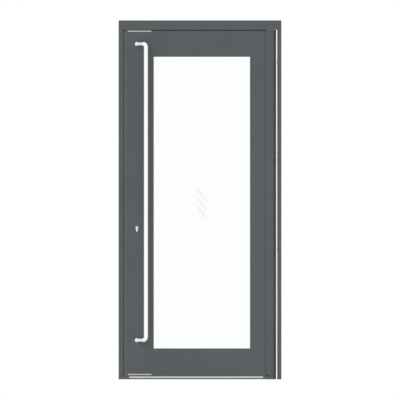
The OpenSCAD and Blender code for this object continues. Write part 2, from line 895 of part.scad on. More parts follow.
module lock_stile_section() {
    difference() {
        union() {
            translate([lock_tube_x0, -hd]) square([lock_tube_w, profile_d]);
            translate([leaf_x0, -hd]) square([lock_tube_x0 - leaf_x0, lip_d]);
        }
        translate([lock_tube_x0 + leaf_wall, -hd + leaf_wall])
            square([lock_chamber_w, profile_d - 2 * leaf_wall]);
        translate([web_x + leaf_wall, -hd + leaf_wall])
            square([lock_tube_x1 - web_x - 2 * leaf_wall, profile_d - 2 * leaf_wall]);
        translate([leaf_x0 + leaf_wall, -hd + leaf_wall])
            square([lock_tube_x0 - leaf_x0 - leaf_wall, lip_d - 2 * leaf_wall]);
    }
    guide_ports() screw_port();
}

// Leg and rib of a stile between the rails, u from the tube
module stile_rebate() {
    translate([0, 0, sight_z0]) linear_extrude(sight_h) glazing_leg();
    translate([0, 0, sight_z0]) linear_extrude(sight_h) bead_rib();
}

module lock_stile() {
    color(paint) difference() {
        union() {
            translate([0, 0, leaf_z0]) linear_extrude(leaf_h) lock_stile_section();
            translate([lock_tube_x1, 0, 0]) stile_rebate();
        }
        for (z = [leaf_z0 - cut, leaf_z1 - guide_t])
            translate([lock_tube_x0, -hd - cut, z])
                cube([lock_tube_w + cut, profile_d + 2 * cut, guide_t + cut]);
        profile_hole(-hd - cut, hd + cut);
        at_handle_feet() cylinder(d = stud_d + 2 * stud_room, h = profile_d + 2 * cut, center = true);
        translate([lock_tube_x0 - cut, lock_y - case_t / 2 - seat_fit, case_z0 - seat_fit])
            cube([leaf_wall + 2 * cut, case_t + 2 * seat_fit, case_z1 - case_z0 + 2 * seat_fit]);
        at_faceplate_screws() csk_screw(plate_screw, screw_fit);
        rail_screw_holes();
    }
}

module hinge_stile_section() {
    difference() {
        union() {
            difference() {
                translate([hinge_tube_x0, -hd]) square([hinge_tube_w, profile_d]);
                translate([hinge_tube_x0 + leaf_wall, -hd + leaf_wall])
                    square([hinge_tube_w - 2 * leaf_wall, profile_d - 2 * leaf_wall]);
            }
            spline_bosses(hinge_stile_x1 - spline_boss);
        }
        spline_tongues(seat_fit);
    }
}

module hinge_stile() {
    color(paint) difference() {
        union() {
            translate([0, 0, leaf_z0]) linear_extrude(leaf_h) hinge_stile_section();
            translate([hinge_tube_x0, 0, 0]) mirror([1, 0, 0]) stile_rebate();
        }
        rail_screw_holes();
        top_brush_slot(hinge_tube_x0 - cut, hinge_stile_x1 + cut);
        bottom_brush_slot(hinge_tube_x0 - cut, hinge_stile_x1 + cut);
    }
}

// Plan of the half-round stile with radius r
module round_plan(r, x0) {
    translate([pivot_x, 0]) circle(r = r);
    translate([x0, -r]) square([pivot_x - x0, 2 * r]);
}

module round_stile() {
    color(paint) difference() {
        translate([0, 0, leaf_z0]) linear_extrude(leaf_h) difference() {
            union() {
                difference() {
                    round_plan(hd, round_x0);
                    round_plan(round_r_in, round_x0 + round_wall);
                }
                spline_bosses(round_x0 + spline_boss_in);
            }
            spline_tongues(seat_fit);
        }
        top_brush_slot(round_x0 - cut, top_brush_x1);
        translate([pivot_x, 0, leaf_z0 - cut])
            cylinder(r = base_disc_r + 0.5, h = shoe_z0 - leaf_z0 + cut);
    }
}

// Tongues of the spline, grown by g they are the grooves for it
module spline_tongues(g) {
    for (s = [-1, 1]) translate([hinge_stile_x1 - spline_in - g, s * spline_y - spline_t / 2 - g])
        square([joint_gap + 2 * spline_in + 2 * g, spline_t + 2 * g]);
}

// Thickening of a wall round the grooves of the spline, grown by g the room it takes in a shoe
module spline_bosses(x0, g = 0) {
    for (s = [-1, 1]) translate([x0 - g, s * spline_y - spline_boss_w / 2 - g])
        square([spline_boss - spline_boss_in + 2 * g, spline_boss_w + 2 * g]);
}

// Plan of the shoes inside the half-round stile
module shoe_plan() {
    difference() {
        round_plan(round_r_in - seat_fit, round_x0 + shoe_in);
        spline_bosses(round_x0 + spline_boss_in, seat_fit);
    }
}

module joining_spline() {
    color(rubber) difference() {
        translate([0, 0, leaf_z0 + spline_end]) linear_extrude(leaf_h - 2 * spline_end) {
            translate([hinge_stile_x1, -hd + spline_edge])
                square([joint_gap, profile_d - 2 * spline_edge]);
            spline_tongues(0);
        }
        top_brush_slot(hinge_stile_x1 - cut, round_x0 + cut);
        bottom_brush_slot(hinge_stile_x1 - cut, round_x0 + cut);
    }
}

module stile_end_plugs() {
    h = end_plug_h;
    g = leaf_wall + seat_fit;
    color(plastic) difference() {
        for (z = [leaf_z0, leaf_z1 - h]) translate([hinge_tube_x0 + g, -hd + g, z])
            cube([hinge_tube_w - g - spline_boss - 2 * seat_fit, profile_d - 2 * g, h]);
        top_brush_slot(hinge_tube_x0, hinge_stile_x1);
        bottom_brush_slot(hinge_tube_x0, hinge_stile_x1);
    }
}

// Block that covers the sight opening grown by an edge
module sight_block(edge, y0, t) {
    translate([sight_x0 - edge, y0, sight_z0 - edge])
        cube([sight_x1 - sight_x0 + 2 * edge, t, sight_h + 2 * edge]);
}

// Frame round the sight opening between two edges
module sight_ring(inner, outer, y0, t) {
    difference() {
        sight_block(outer, y0, t);
        sight_block(inner, y0 - cut, t + 2 * cut);
    }
}

module outer_pane() {
    color(glass) sight_block(glass_edge, glass_y0, pane_t);
}

module inner_pane() {
    color(glass) sight_block(glass_edge, glass_y1 - pane_t, pane_t);
}

module spacer_bar() {
    color(steel) sight_ring(sight_back, glass_edge - spacer_back, glass_y0 + pane_t, pane_space);
}

module setting_blocks() {
    l = block_l;
    d = glass_y1 - glass_y0;
    color(plastic) {
        for (x = [sight_x0 + block_in, sight_x1 - block_in - l])
            translate([x, glass_y0, bottom_tube_z1]) cube([l, d, glass_gap]);
        translate([hinge_tube_x0 - glass_gap, glass_y0, sight_z0 + block_in]) cube([glass_gap, d, l]);
        translate([lock_tube_x1, glass_y0, sight_z1 - block_in - l]) cube([glass_gap, d, l]);
    }
}

module outer_glazing_gasket() {
    a = foot_at + seat_fit;
    t = foot_w - 2 * seat_fit;
    deep = foot_in - foot_end_fit;
    h = deep + foot_root;
    color(rubber) {
        sight_ring(sight_back, glass_edge - sight_back, leg_y, gasket_t);
        for (x = [sight_x0 - a - t, sight_x1 + a])
            translate([x, leg_y - deep, sight_z0]) cube([t, h, sight_h]);
        for (z = [sight_z0 - a - t, sight_z1 + a])
            translate([sight_x0, leg_y - deep, z]) cube([sight_x1 - sight_x0, h, t]);
    }
}

module inner_glazing_gasket() {
    color(rubber) sight_ring(sight_back, glass_edge - sight_back, glass_y1, gasket_t);
}

// Clip-in bead: u from the tube to the sight line, v is depth
module bead_section() {
    difference() {
        polygon([[0, bead_y0], [glaze_leg, bead_y0], [glaze_leg, hd - bead_chamfer],
            [glaze_leg - bead_chamfer, hd], [0, hd]]);
        translate([bead_wall, bead_y0 + bead_wall])
            square([glaze_leg - 2 * bead_wall, hd - bead_y0 - bead_chamfer - bead_wall]);
        translate([-cut, rib_y - clip_fit])
            square([cut + rib_h + clip_fit, rib_t + 2 * clip_fit]);
    }
}

module bottom_bead() {
    color(paint) translate([0, 0, bottom_tube_z1])
        along_x(lock_tube_x1, rail_l) upright() bead_section();
}

module top_bead() {
    color(paint) translate([0, 0, top_tube_z0]) mirror([0, 0, 1])
        along_x(lock_tube_x1, rail_l) upright() bead_section();
}

module lock_side_bead() {
    color(paint) translate([lock_tube_x1, 0, sight_z0]) linear_extrude(sight_h) bead_section();
}

module hinge_side_bead() {
    color(paint) translate([hinge_tube_x0, 0, sight_z0]) mirror([1, 0, 0])
        linear_extrude(sight_h) bead_section();
}

// Places of the handle feet, their Z axis across the leaf
module at_handle_feet() {
    for (z = [handle_z, handle_z + handle_cc])
        translate([lock_x, 0, z]) rotate([90, 0, 0]) children();
}

// Plug inside an end of a bend, seen as a fine line round the tube
module bend_spigot() {
    translate([0, 0, -spigot_in])
        cylinder(d = bar_d - 2 * bend_joint_d, h = spigot_in + bend_joint_w + spigot_lap);
}

// Bend and arm of the handle in the plane of the bend: x towards the foot, y up
module handle_arm() {
    arm_l = bar_offset * sqrt(2);
    translate([bend_r, -bend_r, 0]) rotate([0, 0, 90]) rotate_extrude(angle = 90)
        translate([bend_r, 0]) circle(d = bar_d);
    translate([0, -bend_r, 0]) rotate([90, 0, 0]) bend_spigot();
    translate([bend_r, 0, 0]) rotate([0, 90, 0]) {
        bend_spigot();
        translate([0, 0, bend_joint_w]) cylinder(d1 = bar_d, d2 = arm_d, h = arm_taper);
        cylinder(d = arm_d, h = arm_l - bend_r + arm_d);
    }
}

module outer_pull_handle() {
    face_y = -hd - rose_t;
    b = 3 * arm_d;
    color(bright) difference() {
        union() {
            translate([bar_x, -bar_y, handle_z + bend_r + bend_joint_w])
                cylinder(d = bar_d, h = handle_cc - 2 * (bend_r + bend_joint_w));
            translate([bar_x, -bar_y, handle_z + handle_cc]) rotate([90, 0, 135]) handle_arm();
            translate([bar_x, -bar_y, handle_z]) rotate([90, 0, 135]) mirror([0, 1, 0]) handle_arm();
        }
        translate([lock_x - b, face_y, handle_z - b]) cube([2 * b, b, handle_cc + 2 * b]);
        at_handle_feet() translate([0, 0, -face_y - cut])
            cylinder(d = stud_d + 2 * screw_fit, h = stud_depth + cut);
    }
}

module inner_pull_handle() {
    mirror([0, 1, 0]) outer_pull_handle();
}

module handle_roses() {
    color(bright) at_handle_feet() for (s = [0, 1]) mirror([0, 0, s]) translate([0, 0, hd])
        difference() {
            cylinder(d = rose_d, h = rose_t);
            translate([0, 0, -cut]) cylinder(d = stud_d + 2 * seat_fit, h = rose_t + 2 * cut);
        }
}

module handle_studs() {
    color(steel) at_handle_feet()
        cylinder(d = stud_d, h = profile_d + 2 * (rose_t + stud_depth - stud_end_gap), center = true);
}

// Plan of the profile cylinder on its axis, grown by g
module cylinder_profile(g) {
    circle(d = profile_round + 2 * g);
    translate([-profile_web / 2 - g, -web_low + profile_web / 2])
        square([profile_web + 2 * g, web_low - profile_web / 2]);
    translate([0, -web_low + profile_web / 2]) circle(d = profile_web + 2 * g);
}

module profile_hole(y0, y1) {
    translate([lock_x, 0, cylinder_z]) along_y(y0, y1) cylinder_profile(seat_fit);
}

// Round pin on the cylinder axis between two depths
module axis_round(d, y0, y1) {
    translate([lock_x, y1, cylinder_z]) rotate([90, 0, 0]) cylinder(d = d, h = y1 - y0);
}

module at_faceplate_screws() {
    for (s = [-1, 1])
        translate([lock_tube_x0 - plate_t, lock_y, plate_z + s * (plate_h / 2 - plate_screw_in)])
            rotate([0, -90, 0]) children();
}

module at_cylinder_screw() {
    translate([lock_tube_x0 - plate_t, lock_y, cylinder_z - fix_drop])
        rotate([0, -90, 0]) children();
}

// Way of the deadbolt through faceplate and case
module bolt_way(x1) {
    translate([lock_tube_x0 - plate_t - cut, lock_y - bolt_t / 2 - slide_fit,
            bolt_z - bolt_h / 2 - slide_fit])
        cube([x1 - lock_tube_x0 + plate_t + cut, bolt_t + 2 * slide_fit, bolt_h + 2 * slide_fit]);
}

module rod_way(z0, z1) {
    translate([rod_x, lock_y, z0]) cylinder(d = rod_d + 2 * slide_fit, h = z1 - z0);
}

module lock_case() {
    color(steel) difference() {
        translate([lock_tube_x0, lock_y - case_t / 2, case_z0])
            cube([case_w, case_t, case_z1 - case_z0]);
        profile_hole(lock_y - case_t / 2 - cut, lock_y + case_t / 2 + cut);
        axis_round(2 * (cam_r + cam_clear), lock_y - cam_space / 2, lock_y + cam_space / 2);
        bolt_way(lock_tube_x0 + bolt_l + bolt_room);
        rod_way(case_z0 - cut, rod_low_top + rod_room);
        rod_way(rod_high_foot - rod_room, case_z1 + cut);
        at_cylinder_screw() csk_screw(cylinder_fixing, screw_fit);
    }
}

module faceplate() {
    color(metal) difference() {
        round_plate(lock_tube_x0 - plate_t, plate_t, plate_w, plate_h, plate_z);
        bolt_way(lock_tube_x0 + cut);
        at_faceplate_screws() csk_screw(plate_screw, screw_fit);
        at_cylinder_screw() csk_screw(cylinder_fixing, screw_fit);
    }
}

module faceplate_screws() {
    color(steel) at_faceplate_screws() csk_screw(plate_screw);
}

module cylinder_screw() {
    color(steel) at_cylinder_screw() csk_screw(cylinder_fixing);
}

module cylinder_body() {
    y0 = lock_y - cylinder_out;
    y1 = lock_y + cylinder_in;
    color(nickel) difference() {
        translate([lock_x, 0, cylinder_z]) along_y(y0, y1) cylinder_profile(0);
        axis_round(plug_d + 2 * running_fit, y0 - cut, y1 + cut);
        translate([lock_x - profile_round, lock_y - cam_space / 2, cylinder_z - cam_r - cam_clear])
            cube([2 * profile_round, cam_space, 2 * cam_r]);
        at_cylinder_screw() csk_screw(cylinder_fixing, screw_fit, cut);
    }
}

// Keyway cut from a face of the cylinder into the plug
module keyway(y0, y1) {
    translate([lock_x - keyway_w / 2, y0, cylinder_z - keyway_low])
        cube([keyway_w, y1 - y0, keyway_h]);
}

module outer_plug() {
    y0 = lock_y - cylinder_out - plug_proud;
    color(nickel) difference() {
        axis_round(plug_d, y0, lock_y - cam_t / 2);
        keyway(y0 - cut, y0 + key_l);
    }
}

module cylinder_cam() {
    color(steel) {
        axis_round(plug_d + 2 * cam_hub_wall, lock_y - cam_t / 2, lock_y + cam_t / 2);
        translate([0, lock_y - cam_t / 2, 0]) intersection() {
            translate([lock_x - cam_w / 2, 0, cylinder_z - cam_r]) cube([cam_w, cam_t, cam_r]);
            translate([lock_x, cam_t, cylinder_z]) rotate([90, 0, 0]) cylinder(r = cam_r, h = cam_t);
        }
    }
}

module inner_plug() {
    y1 = lock_y + cylinder_in + plug_proud;
    color(nickel) difference() {
        axis_round(plug_d, lock_y + cam_t / 2 + plug_gap, y1);
        keyway(lock_y + cam_t / 2 + keyway_end, y1 + cut);
    }
}

module deadbolt() {
    c = bolt_chamfer;
    color(steel) translate([lock_tube_x0 - plate_t, 0, bolt_z - bolt_h / 2]) linear_extrude(bolt_h)
        polygon([[0, lock_y - bolt_t / 2 + c], [c, lock_y - bolt_t / 2], [bolt_l, lock_y - bolt_t / 2],
            [bolt_l, lock_y + bolt_t / 2], [c, lock_y + bolt_t / 2], [0, lock_y + bolt_t / 2 - c]]);
}

module top_rod() {
    tip = leaf_z1 - tip_in;
    color(steel) {
        translate([rod_x, lock_y, rod_high_foot])
            cylinder(d = rod_d, h = tip - rod_tip_l - rod_high_foot);
        translate([rod_x, lock_y, tip - rod_tip_l])
            cylinder(d1 = rod_d, d2 = rod_tip_d, h = rod_tip_l);
    }
}

module bottom_rod() {
    tip = leaf_z0 + tip_in;
    color(steel) {
        translate([rod_x, lock_y, tip + rod_tip_l])
            cylinder(d = rod_d, h = rod_low_top - tip - rod_tip_l);
        translate([rod_x, lock_y, tip]) cylinder(d1 = rod_tip_d, d2 = rod_d, h = rod_tip_l);
    }
}

// Screws through the guide plates into the ports of the lock stile
module at_top_guide_screws() {
    translate([0, 0, leaf_z1]) guide_ports() children();
}

module at_bottom_guide_screws() {
    translate([0, 0, leaf_z0]) mirror([0, 0, 1]) guide_ports() children();
}

module top_guide_plate() {
    color(metal) difference() {
        translate([lock_tube_x0, -hd, leaf_z1 - guide_t]) cube([lock_tube_w, profile_d, guide_t]);
        rod_way(leaf_z1 - guide_t - cut, leaf_z1 + cut);
        top_brush_slot(lock_tube_x0 - cut, lock_tube_x1 + cut);
        at_top_guide_screws() csk_screw(guide_screw, screw_fit);
    }
}

module bottom_guide_plate() {
    color(metal) difference() {
        translate([lock_tube_x0, -hd, leaf_z0]) cube([lock_tube_w, profile_d, guide_t]);
        rod_way(leaf_z0 - cut, leaf_z0 + guide_t + cut);
        bottom_brush_slot(lock_tube_x0 - cut, lock_tube_x1 + cut);
        at_bottom_guide_screws() csk_screw(guide_screw, screw_fit);
    }
}

module guide_plate_screws() {
    color(steel) {
        at_top_guide_screws() csk_screw(guide_screw);
        at_bottom_guide_screws() csk_screw(guide_screw);
    }
}

module top_pivot_shoe() {
    g = seat_fit;
    color(paint) difference() {
        union() {
            translate([0, 0, leaf_z1 - shoe_h]) linear_extrude(shoe_h) shoe_plan();
            translate([0, 0, leaf_z1]) linear_extrude(shoe_flange)
                round_plan(hd, top_brush_x1 + seat_fit);
        }
        translate([pivot_x - spindle_sq / 2 - g, -spindle_sq / 2 - g, leaf_z1 - spindle_in - g])
            cube([spindle_sq + 2 * g, spindle_sq + 2 * g, 2 * spindle_in]);
        top_brush_slot(round_x0, top_brush_x1 + g);
        translate([round_x0, brush_y - brush_neck / 2, leaf_z1])
            cube([top_brush_x1 + g - round_x0, brush_neck, shoe_flange + cut]);
    }
}

module closer_spindle() {
    z = leaf_z1 + shoe_flange;
    color(steel) {
        translate([pivot_x - spindle_sq / 2, -spindle_sq / 2, leaf_z1 - spindle_in])
            cube([spindle_sq, spindle_sq, z - leaf_z1 + spindle_in]);
        translate([pivot_x, 0, z]) cylinder(d = spindle_d, h = spindle_top - z);
    }
}

module bottom_pivot_shoe() {
    color(metal) difference() {
        translate([0, 0, shoe_z0]) linear_extrude(shoe_h) shoe_plan();
        translate([pivot_x, 0, shoe_z0 - cut])
            cylinder(d = bush_d + 2 * press_fit, h = bush_top - shoe_z0 + cut);
        translate([pivot_x, 0, shoe_z0 - cut])
            cylinder(d = bush_flange_d + 2 * press_fit, h = base_top_z + bush_flange_t - shoe_z0 + cut);
    }
}

module pivot_bush() {
    color(bronze) difference() {
        union() {
            translate([pivot_x, 0, base_top_z]) cylinder(d = bush_flange_d, h = bush_flange_t);
            translate([pivot_x, 0, base_top_z]) cylinder(d = bush_d, h = bush_top - base_top_z);
        }
        translate([pivot_x, 0, base_top_z - cut])
            cylinder(d = pin_d + 2 * running_fit, h = pin_top + pin_room - base_top_z + cut);
    }
}

head();
lock_jamb();
hinge_jamb();
threshold();
threshold_end_blocks();
threshold_keep();
head_keep();
strike_plate();
strike_screws();
stop_gasket();
jamb_spigots();
jamb_screws();
fixing_hole_caps();
closer_body();
closer_screws();
pivot_base();
pivot_pin();
floor_screws();
lock_stile();
hinge_stile();
round_stile();
joining_spline();
top_rail();
bottom_rail();
rail_screws();
outer_pane();
inner_pane();
spacer_bar();
setting_blocks();
outer_glazing_gasket();
inner_glazing_gasket();
top_bead();
bottom_bead();
lock_side_bead();
hinge_side_bead();
outer_pull_handle();
inner_pull_handle();
handle_roses();
handle_studs();
lock_case();
faceplate();
faceplate_screws();
cylinder_body();
cylinder_screw();
top_guide_plate();
bottom_guide_plate();
guide_plate_screws();
stile_end_plugs();
top_pivot_shoe();
closer_spindle();
bottom_pivot_shoe();
pivot_bush();
top_brush();
bottom_brush();
outer_plug();
cylinder_cam();
inner_plug();
deadbolt();
top_rod();
bottom_rod();
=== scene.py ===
import json
import math
import random

import bmesh
import bpy
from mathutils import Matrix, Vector

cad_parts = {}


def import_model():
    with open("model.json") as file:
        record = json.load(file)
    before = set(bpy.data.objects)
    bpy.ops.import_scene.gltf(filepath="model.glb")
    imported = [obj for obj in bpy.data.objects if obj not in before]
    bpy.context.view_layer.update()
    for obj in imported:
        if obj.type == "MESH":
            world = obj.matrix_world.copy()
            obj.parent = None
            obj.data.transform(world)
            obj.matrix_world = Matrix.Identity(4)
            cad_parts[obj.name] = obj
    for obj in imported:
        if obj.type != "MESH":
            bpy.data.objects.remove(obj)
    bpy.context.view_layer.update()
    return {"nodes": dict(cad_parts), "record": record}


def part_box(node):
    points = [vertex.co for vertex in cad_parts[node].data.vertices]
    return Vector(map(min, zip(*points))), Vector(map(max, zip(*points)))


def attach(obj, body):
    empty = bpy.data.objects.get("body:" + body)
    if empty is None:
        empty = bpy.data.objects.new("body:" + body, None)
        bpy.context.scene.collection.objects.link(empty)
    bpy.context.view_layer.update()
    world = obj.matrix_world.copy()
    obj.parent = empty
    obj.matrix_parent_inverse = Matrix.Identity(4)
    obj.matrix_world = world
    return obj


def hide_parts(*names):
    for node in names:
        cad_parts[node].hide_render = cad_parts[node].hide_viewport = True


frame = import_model()
nodes = frame["nodes"]

# Shader nodes that the materials share

# Range in which most of a noise lies
NOISE_LOW = 0.3
NOISE_HIGH = 0.7


def shader(name, color, rough, metal=0.0):
    """A material, its node tree, its Principled shader and object coordinates in metres."""
    material = bpy.data.materials.new(name)
    material.use_nodes = True
    tree = material.node_tree
    surface = tree.nodes["Principled BSDF"]
    surface.inputs["Base Color"].default_value = (*color, 1.0)
    surface.inputs["Roughness"].default_value = rough
    surface.inputs["Metallic"].default_value = metal
    coord = tree.nodes.new("ShaderNodeTexCoord")
    return material, tree, surface, coord.outputs["Object"]


def stretched(tree, place, scale):
    """Coordinates with a scale of their own for each axis."""
    node = tree.nodes.new("ShaderNodeMapping")
    node.inputs["Scale"].default_value = scale
    tree.links.new(place, node.inputs["Vector"])
    return node.outputs["Vector"]


def noise(tree, place, scale, detail=3.0, rough=0.55):
    node = tree.nodes.new("ShaderNodeTexNoise")
    node.inputs["Scale"].default_value = scale
    node.inputs["Detail"].default_value = detail
    node.inputs["Roughness"].default_value = rough
    tree.links.new(place, node.inputs["Vector"])
    return node.outputs["Fac"]


def voronoi(tree, place, scale):
    node = tree.nodes.new("ShaderNodeTexVoronoi")
    node.inputs["Scale"].default_value = scale
    tree.links.new(place, node.inputs["Vector"])
    return node.outputs["Distance"]


def ranged(tree, value, to_low, to_high, low=NOISE_LOW, high=NOISE_HIGH):
    """A value carried over from one range to another."""
    node = tree.nodes.new("ShaderNodeMapRange")
    node.inputs["From Min"].default_value = low
    node.inputs["From Max"].default_value = high
    node.inputs["To Min"].default_value = to_low
    node.inputs["To Max"].default_value = to_high
    tree.links.new(value, node.inputs["Value"])
    return node.outputs["Result"]


def tinted(tree, value, dark, light):
    """A colour between a dark and a light one, by the value of a noise."""
    node = tree.nodes.new("ShaderNodeValToRGB")
    first, last = node.color_ramp.elements
    first.position = NOISE_LOW
    first.color = (*dark, 1.0)
    last.position = NOISE_HIGH
    last.color = (*light, 1.0)
    tree.links.new(value, node.inputs["Fac"])
    return node.outputs["Color"]


def bumped(tree, surface, height, strength, distance, before=None):
    """Bump on a shader, on top of the bump before it where there is one."""
    node = tree.nodes.new("ShaderNodeBump")
    node.inputs["Strength"].default_value = strength
    node.inputs["Distance"].default_value = distance
    tree.links.new(height, node.inputs["Height"])
    if before is not None:
        tree.links.new(before, node.inputs["Normal"])
    tree.links.new(node.outputs["Normal"], surface.inputs["Normal"])
    return node.outputs["Normal"]


def times(color, share):
    return tuple(c * share for c in color)


# Materials

PAINT = (0.0733, 0.0832, 0.09)
ALUMINIUM = (0.5, 0.503, 0.507)
STAINLESS = (0.88, 0.872, 0.845)
NICKEL = (0.72, 0.7, 0.66)
STEEL = (0.5, 0.51, 0.52)
RUBBER = (0.018, 0.018, 0.019)
PILE = (0.016, 0.016, 0.017)
PLASTIC = (0.085, 0.09, 0.095)
GLASS = (0.985, 0.995, 0.99)
GLASS_SHADOW = (0.95, 0.97, 0.96)
SPACER = (0.2, 0.2, 0.21)
BRONZE = (0.42, 0.27, 0.12)

# Scale of the noise along the lines of drawn metal, where across them it is the grain
LINE_SCALE = 4.0


def powder_coat(name, color):
    """Satin powder coat: fine orange peel, faint cloudiness and tiny pits."""
    material, tree, surface, place = shader(name, color, rough=0.48)
    surface.inputs["Specular IOR Level"].default_value = 0.25
    cloud = noise(tree, place, scale=5.0, detail=2.0)
    tone = tinted(tree, cloud, dark=times(color, 0.965), light=times(color, 1.035))
    tree.links.new(tone, surface.inputs["Base Color"])
    gloss = ranged(tree, noise(tree, place, scale=60.0), to_low=0.44, to_high=0.54)
    tree.links.new(gloss, surface.inputs["Roughness"])
    peel = noise(tree, place, scale=700.0, detail=2.0)
    pits = voronoi(tree, place, scale=1500.0)
    first = bumped(tree, surface, peel, strength=0.25, distance=0.00008)
    bumped(tree, surface, pits, strength=0.12, distance=0.00003, before=first)
    return material


def drawn_metal(name, color, rough, along, grain=420.0, bump=0.2, metal=1.0):
    """Metal with fine drawing or brushing lines that run along one axis."""
    material, tree, surface, place = shader(name, color, rough, metal)
    scale = [grain, grain, grain]
    scale["xyz".index(along)] = LINE_SCALE
    lines = noise(tree, stretched(tree, place, scale), scale=1.0, detail=4.0, rough=0.6)
    tone = tinted(tree, lines, dark=times(color, 0.93), light=times(color, 1.03))
    tree.links.new(tone, surface.inputs["Base Color"])
    cloud = noise(tree, place, scale=12.0)
    gloss = ranged(tree, cloud, to_low=rough * 0.85, to_high=rough * 1.2)
    tree.links.new(gloss, surface.inputs["Roughness"])
    bumped(tree, surface, lines, strength=bump, distance=0.00005)
    return material


def grained(name, color, rough, size, bump, spread=0.12):
    """Moulded rubber, plastic or fibre with a matt grain of a size in metres."""
    material, tree, surface, place = shader(name, color, rough)
    cloud = noise(tree, place, scale=18.0, detail=2.0)
    tone = tinted(tree, cloud, dark=times(color, 1 - spread), light=times(color, 1 + spread))
    tree.links.new(tone, surface.inputs["Base Color"])
    grain = noise(tree, place, scale=1.0 / size)
    gloss = ranged(tree, grain, to_low=rough - 0.08, to_high=rough + 0.08)
    tree.links.new(gloss, surface.inputs["Roughness"])
    bumped(tree, surface, grain, strength=bump, distance=size * 0.12)
    return material


def clear_glass(name):
    """Float glass with the faintest green tint and patches of haze, that casts hardly any shadow."""
    material, tree, surface, place = shader(name, GLASS, rough=0.0)
    surface.inputs["Transmission Weight"].default_value = 1.0
    surface.inputs["IOR"].default_value = 1.5
    haze = ranged(tree, noise(tree, place, scale=7.0), to_low=0.0, to_high=0.012, low=0.4, high=0.75)
    tree.links.new(haze, surface.inputs["Roughness"])
    path = tree.nodes.new("ShaderNodeLightPath")
    clear = tree.nodes.new("ShaderNodeBsdfTransparent")
    clear.inputs["Color"].default_value = (*GLASS_SHADOW, 1.0)
    mix = tree.nodes.new("ShaderNodeMixShader")
    tree.links.new(path.outputs["Is Shadow Ray"], mix.inputs["Fac"])
    tree.links.new(surface.outputs["BSDF"], mix.inputs[1])
    tree.links.new(clear.outputs["BSDF"], mix.inputs[2])
    tree.links.new(mix.outputs["Shader"], tree.nodes["Material Output"].inputs["Surface"])
    return material


materials = {
    "anthracite_paint": powder_coat("anthracite_powder_coat", PAINT),
    "anodised_aluminium": drawn_metal("anodised_extrusion", ALUMINIUM, rough=0.42, along="x", metal=0.35),
    "stainless_handle": drawn_metal(
        "satin_stainless", STAINLESS, rough=0.48, along="z", grain=600.0, bump=0.12, metal=0.1),
    "nickel": drawn_metal("satin_nickel", NICKEL, rough=0.3, along="x", grain=700.0, bump=0.1),
    "steel": drawn_metal("zinc_plated_steel", STEEL, rough=0.36, along="z", grain=300.0, bump=0.15),
    "rubber": grained("black_rubber", RUBBER, rough=0.72, size=0.0012, bump=0.25),
    "brush_pile": grained("brush_fibre", PILE, rough=0.8, size=0.0008, bump=0.2, spread=0.3),
    "dark_plastic": grained("moulded_plastic", PLASTIC, rough=0.55, size=0.0015, bump=0.2),
    "clear_glass": clear_glass("clear_float_glass"),
    "spacer_metal": drawn_metal("spacer_bar_metal", SPACER, rough=0.4, along="z", grain=300.0, bump=0.1),
    "bronze": drawn_metal("sintered_bronze", BRONZE, rough=0.45, along="z", grain=260.0, bump=0.1),
}

for entry in frame["record"]["subparts"]:
    node_slots = nodes[entry["node"]].data.materials
    node_slots.clear()
    node_slots.append(materials[entry["material_slot"]])

# Pieces of the leaf


def new_piece(name, bm, material, slot, *stands_for):
    """A mesh piece that rides on the leaf, in place of the nodes that it stands for."""
    bmesh.ops.recalc_face_normals(bm, faces=bm.faces)
    mesh = bpy.data.meshes.new(name)
    bm.to_mesh(mesh)
    bm.free()
    ob = bpy.data.objects.new(name, mesh)
    bpy.context.collection.objects.link(ob)
    mesh.materials.append(material)
    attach(ob, "leaf")
    if stands_for:
        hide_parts(*stands_for)


def bridge(bm, start, end):
    """Faces between two rings with the same number of corners."""
    for i in range(len(start)):
        j = (i + 1) % len(start)
        bm.faces.new((start[i], start[j], end[j], end[i]))


def add_bar(bm, outline, x0, x1):
    """A bar along X with a section given as depth and height."""
    start, end = [[bm.verts.new((x, y, z)) for y, z in outline] for x in (x0, x1)]
    bridge(bm, start, end)
    bm.faces.new(start[::-1])
    bm.faces.new(end)


# Brush seals: a backing strip with a fin and its fibres

BRUSH_LOW, BRUSH_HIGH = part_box("top_brush")
FOOT_LOW, FOOT_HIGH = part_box("bottom_brush")
BRUSH_Y = (BRUSH_LOW.y + BRUSH_HIGH.y) / 2
BACKING_HALF = (BRUSH_HIGH.y - BRUSH_LOW.y) / 2
BACKING_H = 0.0025
FIN_HALF = 0.0002
# Length of the fibres past the tip of the plain solid
TIP_REACH = 0.00025
TIP_UNEVEN = 0.0004
FIBRE_R = 0.00022
FIBRE_TAPER = 0.6
# Directions of a fibre's corners from its middle, in radians
FIBRE_CORNERS = (0.3, 2.4, 4.5)
FIBRE_ROWS = (-0.0019, -0.0013, -0.0007, 0.0007, 0.0013, 0.0019)
FIBRE_PITCH = 0.0008
PITCH_SPREAD = 0.2
FIBRE_INSET = 0.0005
LEAN_OUT = 0.00025
LEAN_ALONG = 0.0003


def box_outline(half, z0, z1):
    """Section of a bar in the middle of a brush."""
    return [(BRUSH_Y - half, z0), (BRUSH_Y + half, z0), (BRUSH_Y + half, z1), (BRUSH_Y - half, z1)]


def add_fibre(bm, root, tip):
    """A three-sided fibre that narrows to its tip."""
    rings = []
    for (x, y, z), r in ((root, FIBRE_R), (tip, FIBRE_R * FIBRE_TAPER)):
        rings.append([bm.verts.new((x + r * math.cos(a), y + r * math.sin(a), z)) for a in FIBRE_CORNERS])
    bridge(bm, *rings)
    bm.faces.new(rings[1])
    bm.faces.new(rings[0][::-1])


